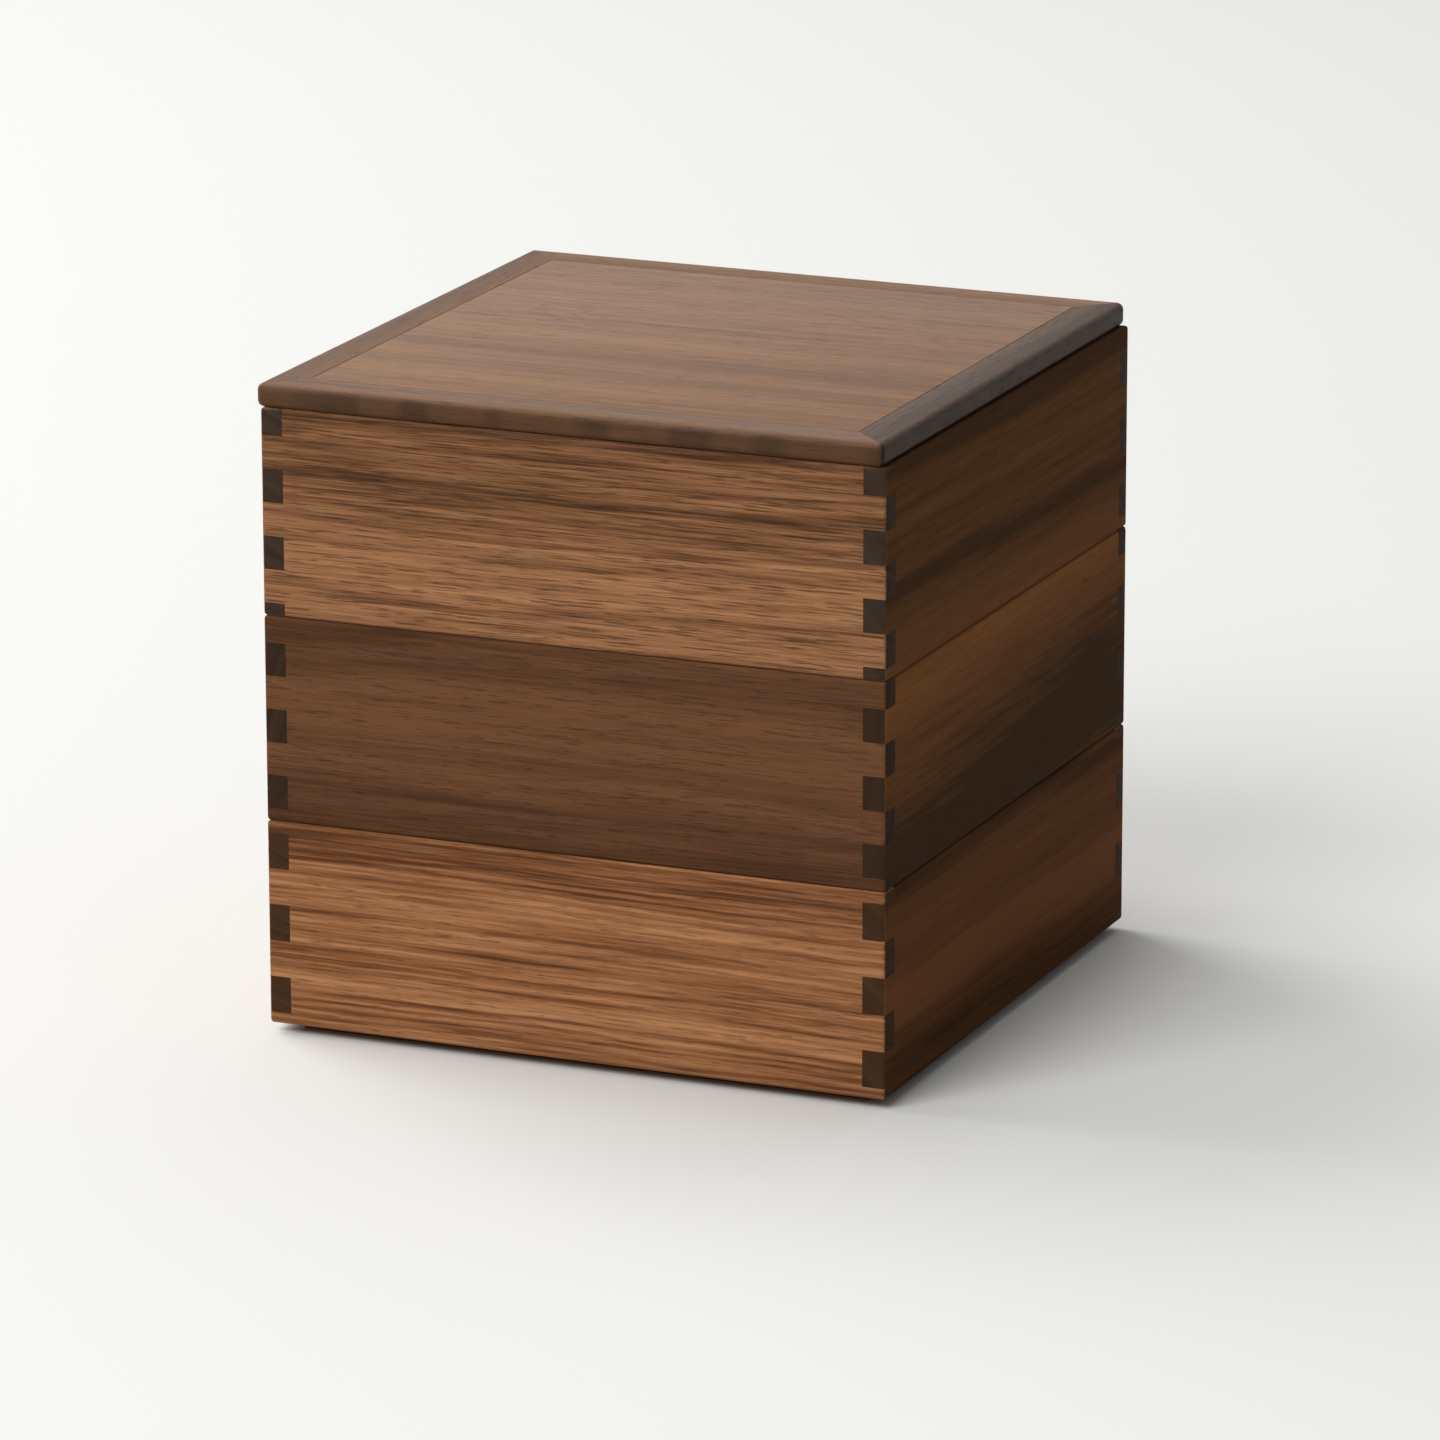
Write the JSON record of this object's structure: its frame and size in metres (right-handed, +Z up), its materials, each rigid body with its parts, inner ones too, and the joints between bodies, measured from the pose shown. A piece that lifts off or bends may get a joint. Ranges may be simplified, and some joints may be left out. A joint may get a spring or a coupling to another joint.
{
  "type": "stacking food box",
  "caption": "Square stacking food box: finger-jointed walnut tiers on stepped base panels that nest, under a flat lid of mitred rails round a panel, located by battens.",
  "frame": {"origin": "on the surface that the box stands on, at the middle of the bottom tier's base panel", "axes": "+Z up through the stack, the front towards -Y, +X to the right seen from the front"},
  "size_m": [0.1963, 0.195, 0.196],
  "materials": {
    "bottom_tier_walnut": "orange-brown walnut, straight grain, clear satin finish",
    "middle_tier_walnut": "greyish dark brown walnut, clear satin finish",
    "top_tier_walnut": "medium brown walnut, open pores, clear satin finish",
    "base_panel_walnut": "plain brown walnut, clear satin finish",
    "lid_panel_walnut": "light brown walnut, straight grain, clear satin finish",
    "lid_rail_walnut": "dark brown walnut, clear satin finish",
    "batten_walnut": "plain brown walnut, clear satin finish"
  },
  "bodies": {
    "bottom_tier": {"bottom_front_board": "bottom_tier_walnut", "bottom_back_board": "bottom_tier_walnut", "bottom_left_board": "bottom_tier_walnut", "bottom_right_board": "bottom_tier_walnut", "bottom_base_panel": "base_panel_walnut"},
    "middle_tier": {"middle_front_board": "middle_tier_walnut", "middle_back_board": "middle_tier_walnut", "middle_left_board": "middle_tier_walnut", "middle_right_board": "middle_tier_walnut", "middle_base_panel": "base_panel_walnut"},
    "top_tier": {"top_front_board": "top_tier_walnut", "top_back_board": "top_tier_walnut", "top_left_board": "top_tier_walnut", "top_right_board": "top_tier_walnut", "top_base_panel": "base_panel_walnut"},
    "lid": {"lid_front_rail": "lid_rail_walnut", "lid_back_rail": "lid_rail_walnut", "lid_left_rail": "lid_rail_walnut", "lid_right_rail": "lid_rail_walnut", "lid_panel": "lid_panel_walnut", "lid_front_batten": "batten_walnut", "lid_back_batten": "batten_walnut", "lid_left_batten": "batten_walnut", "lid_right_batten": "batten_walnut"}
  },
  "joints": [
    {"name": "middle_tier_lift", "type": "slide", "parent": "bottom_tier", "child": "middle_tier", "axis": [0, 0, 1], "range_m": [0, 0.1]},
    {"name": "top_tier_lift", "type": "slide", "parent": "middle_tier", "child": "top_tier", "axis": [0, 0, 1], "range_m": [0, 0.1]},
    {"name": "lid_lift", "type": "slide", "parent": "top_tier", "child": "lid", "axis": [0, 0, 1], "range_m": [0, 0.1]}
  ]
}
